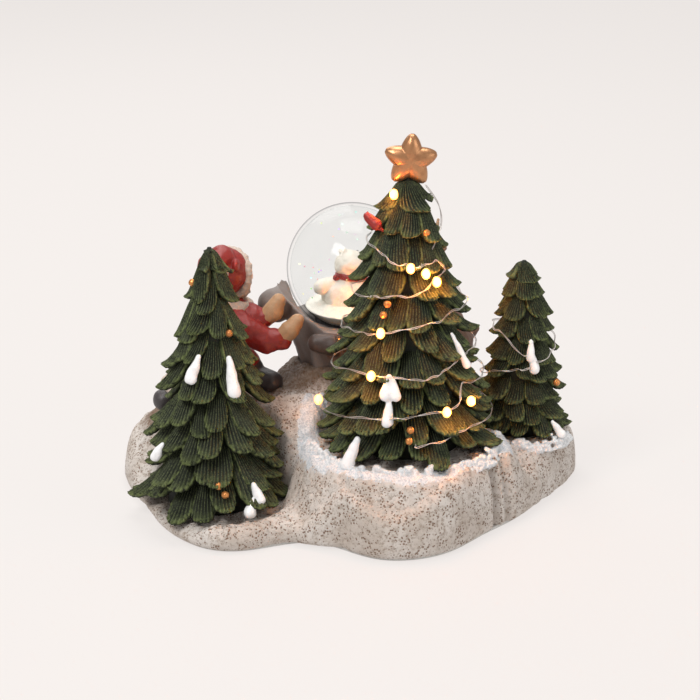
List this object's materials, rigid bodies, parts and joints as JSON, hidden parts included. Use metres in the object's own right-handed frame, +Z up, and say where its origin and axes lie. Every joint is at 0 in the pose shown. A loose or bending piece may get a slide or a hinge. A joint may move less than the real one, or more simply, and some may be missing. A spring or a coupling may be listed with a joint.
{
  "type": "snow globe",
  "caption": "Winter-scene snow globe: glass ball on a carved stump between fir trees on a lobed snow base, lit by a battery light string",
  "frame": {"origin": "centre of the base's resting plane, under the middle of its long and short sides", "axes": "+Z up, +X along the base's long side, the large fir with the star stands on the -Y side"},
  "size_m": [0.1606, 0.1128, 0.1323],
  "materials": {
    "snow_resin": "matte painted cast resin with brown wash",
    "fir_green": "matte dark green resin, dry-brushed lighter",
    "snow_white": "satin white paint",
    "berry_copper": "pearl copper paint",
    "star_gold": "glossy copper gold paint",
    "clear_glass": "clear polished",
    "clear_liquid": "clear liquid",
    "cradle_grey": "matte taupe grey resin",
    "santa_red": "satin red paint",
    "fur_cream": "matte cream paint",
    "skin": "satin paint",
    "mitten_tan": "satin tan paint",
    "boot_dark": "satin dark paint",
    "deer_brown": "matte brown paint",
    "antler_tan": "matte tan paint",
    "stopper_rubber": "black rubber",
    "orange_paint": "satin orange paint",
    "wire_silver": "thin enamelled wire pair",
    "led_warm": "clear epoxy bead, warm white light",
    "felt": "short-pile felt",
    "black_plastic": "fine moulded texture",
    "cell_wrap": "printed sleeve, plain",
    "spring_steel": "nickel plated",
    "board_green": "solder-masked board",
    "screw_steel": "zinc plated"
  },
  "bodies": {
    "ornament": {"base_casting": "snow_resin", "battery_box": "black_plastic", "battery_cells": "cell_wrap", "board_posts": "black_plastic", "bottom_plate": "black_plastic", "contact_plates": "spring_steel", "contact_springs": "spring_steel", "cover_screws": "screw_steel", "felt_sheet": "felt", "globe_cradle": "cradle_grey", "globe_glass": "clear_glass", "globe_liquid": "clear_liquid", "globe_snow_drift": "snow_white", "globe_stopper": "stopper_rubber", "large_berries": "berry_copper", "large_fir": "fir_green", "large_snow_drops": "snow_white", "led_lights": "led_warm", "light_wire": "wire_silver", "medium_berries": "berry_copper", "medium_fir": "fir_green", "medium_snow_drops": "snow_white", "reindeer": "deer_brown", "reindeer_antlers": "antler_tan", "reindeer_hooves": "boot_dark", "reindeer_scarf": "santa_red", "santa_beard": "fur_cream", "santa_belt": "boot_dark", "santa_boots": "boot_dark", "santa_coat": "santa_red", "santa_head": "skin", "santa_hood": "santa_red", "santa_hood_trim": "fur_cream", "santa_mittens": "mitten_tan", "santa_pompom": "fur_cream", "santa_sleeves": "santa_red", "santa_trousers": "santa_red", "small_berries": "berry_copper", "small_fir": "fir_green", "small_snow_drops": "snow_white", "snowman": "snow_white", "santa_collar": "fur_cream", "snowman_nose": "orange_paint", "snowman_scarf": "santa_red", "star_topper": "star_gold", "switch_body": "black_plastic", "timer_board": "board_green", "timer_chip": "black_plastic", "tree_bird": "santa_red"},
    "battery_door": {"battery_door": "black_plastic"},
    "switch_knob": {"switch_knob": "black_plastic"}
  },
  "joints": [
    {"name": "battery_door_slide", "type": "slide", "parent": "ornament", "child": "battery_door", "axis": [1, 0, 0], "range_m": [0, 0.024]},
    {"name": "switch_slide", "type": "slide", "parent": "ornament", "child": "switch_knob", "axis": [1, 0, 0], "range_m": [0, 0.0025]}
  ]
}
